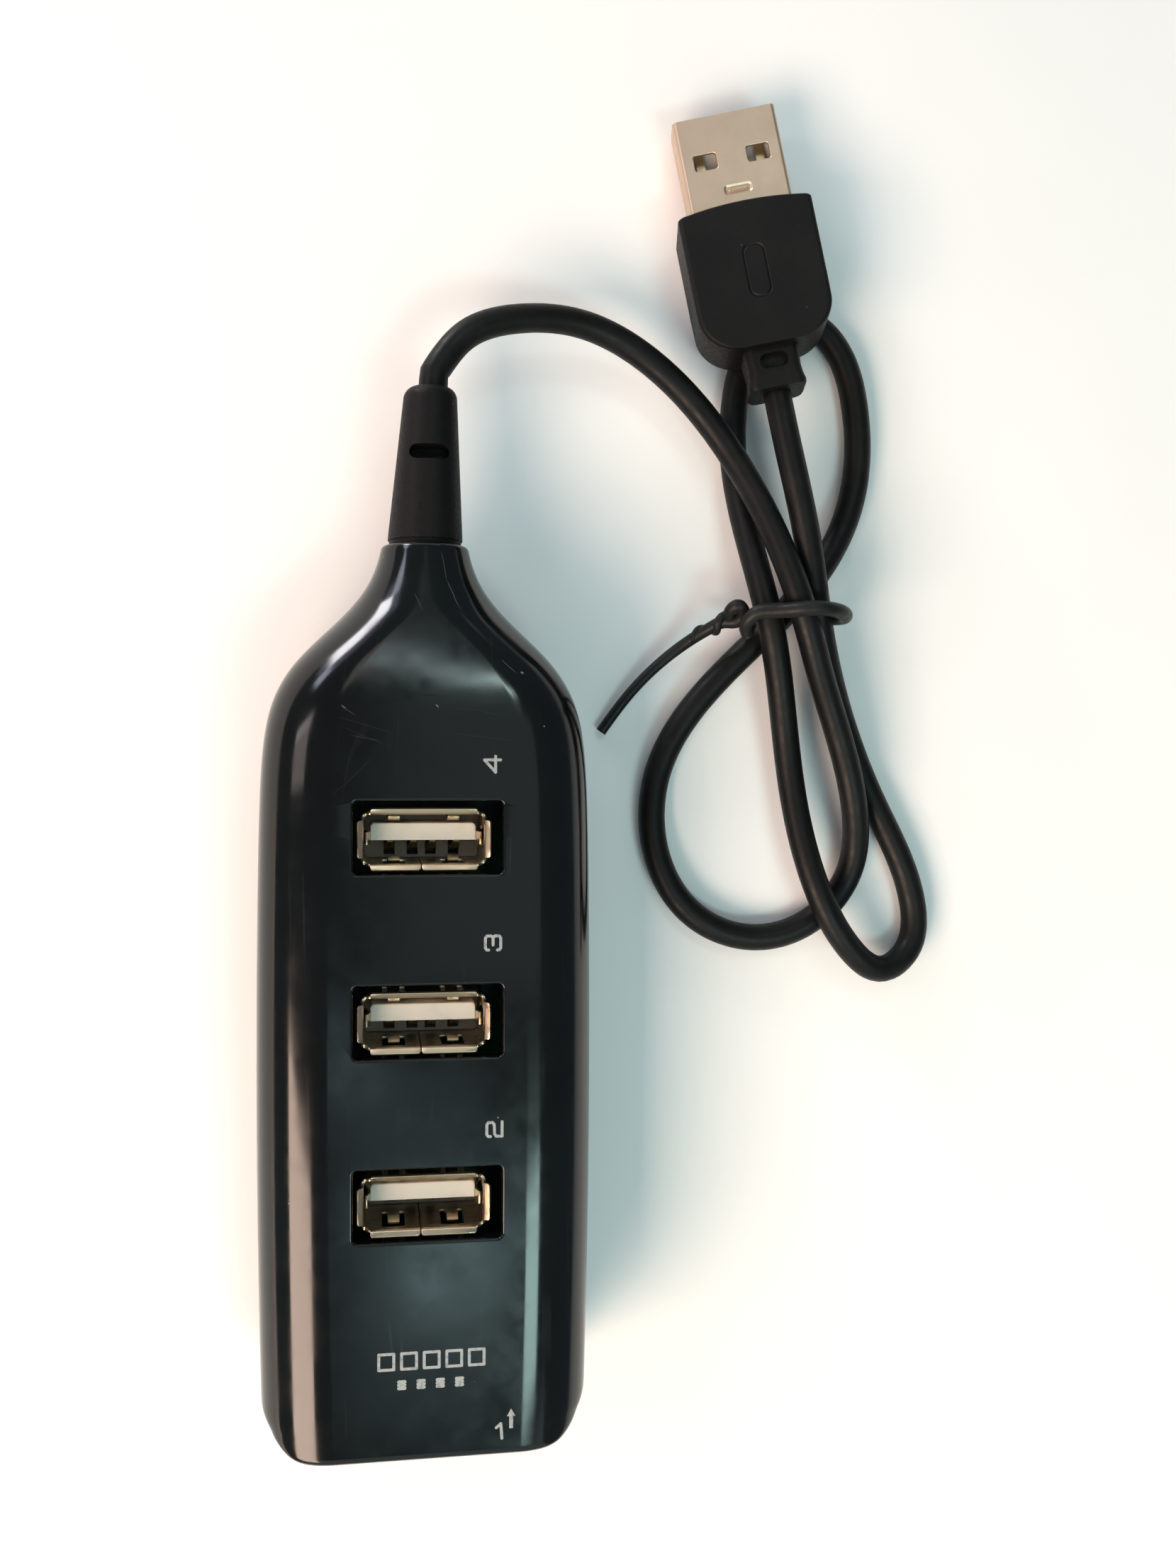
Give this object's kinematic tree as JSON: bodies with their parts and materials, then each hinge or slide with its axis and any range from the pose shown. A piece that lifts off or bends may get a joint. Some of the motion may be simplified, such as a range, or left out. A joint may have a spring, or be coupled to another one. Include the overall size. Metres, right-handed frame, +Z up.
{
  "type": "usb hub",
  "caption": "Slim gloss black hub shaped like a small power strip, with sockets in its top and end face, and a thin tied cord to a plug.",
  "frame": {"origin": "on the surface the hub stands on, under the middle of the case and strain relief taken together", "axes": "+Z up; +Y along the case, towards the end where the cord leaves; +X across the case"},
  "size_m": [0.08, 0.1494, 0.021],
  "materials": {
    "case_gloss": "high gloss black with fine scratches",
    "moulded_rubber": "matte black with a fine grain",
    "cord_jacket": "semi-gloss black",
    "tie_plastic": "satin black over a steel wire",
    "socket_nickel": "nickel-plated sheet, warm and streaked",
    "plug_nickel": "nickel-plated sheet, fine satin",
    "contact_metal": "thin gold flash",
    "white_plastic": "satin warm white",
    "board": "green solder mask",
    "chip_plastic": "dark moulding compound",
    "capacitor_sleeve": "shrink sleeve",
    "ceramic": "fired ceramic",
    "crystal_can": "drawn steel can",
    "screw_steel": "zinc-plated",
    "red_insulation": "satin red",
    "white_insulation": "satin white",
    "green_insulation": "satin green",
    "black_insulation": "satin black"
  },
  "bodies": {
    "root": {"case_top": "case_gloss", "case_bottom": "case_gloss", "case_screw_1": "screw_steel", "case_screw_2": "screw_steel", "circuit_board": "board", "hub_controller": "chip_plastic", "crystal": "crystal_can", "electrolytic_capacitor": "capacitor_sleeve", "ceramic_capacitor_1": "ceramic", "ceramic_capacitor_2": "ceramic", "port_1_shell": "socket_nickel", "port_1_tongue": "white_plastic", "port_1_contact_1": "contact_metal", "port_1_contact_2": "contact_metal", "port_1_contact_3": "contact_metal", "port_1_contact_4": "contact_metal", "port_2_shell": "socket_nickel", "port_2_tongue": "white_plastic", "port_2_contact_1": "contact_metal", "port_2_contact_2": "contact_metal", "port_2_contact_3": "contact_metal", "port_2_contact_4": "contact_metal", "port_3_shell": "socket_nickel", "port_3_tongue": "white_plastic", "port_3_contact_1": "contact_metal", "port_3_contact_2": "contact_metal", "port_3_contact_3": "contact_metal", "port_3_contact_4": "contact_metal", "port_4_shell": "socket_nickel", "port_4_tongue": "white_plastic", "port_4_contact_1": "contact_metal", "port_4_contact_2": "contact_metal", "port_4_contact_3": "contact_metal", "port_4_contact_4": "contact_metal", "wire_red": "red_insulation", "wire_white": "white_insulation", "wire_green": "green_insulation", "wire_black": "black_insulation", "strain_relief": "moulded_rubber", "cord": "cord_jacket", "twist_tie": "tie_plastic", "plug_overmould": "moulded_rubber", "plug_shell": "plug_nickel", "plug_tongue": "white_plastic", "plug_contact_1": "contact_metal", "plug_contact_2": "contact_metal", "plug_contact_3": "contact_metal", "plug_contact_4": "contact_metal"}
  },
  "joints": []
}
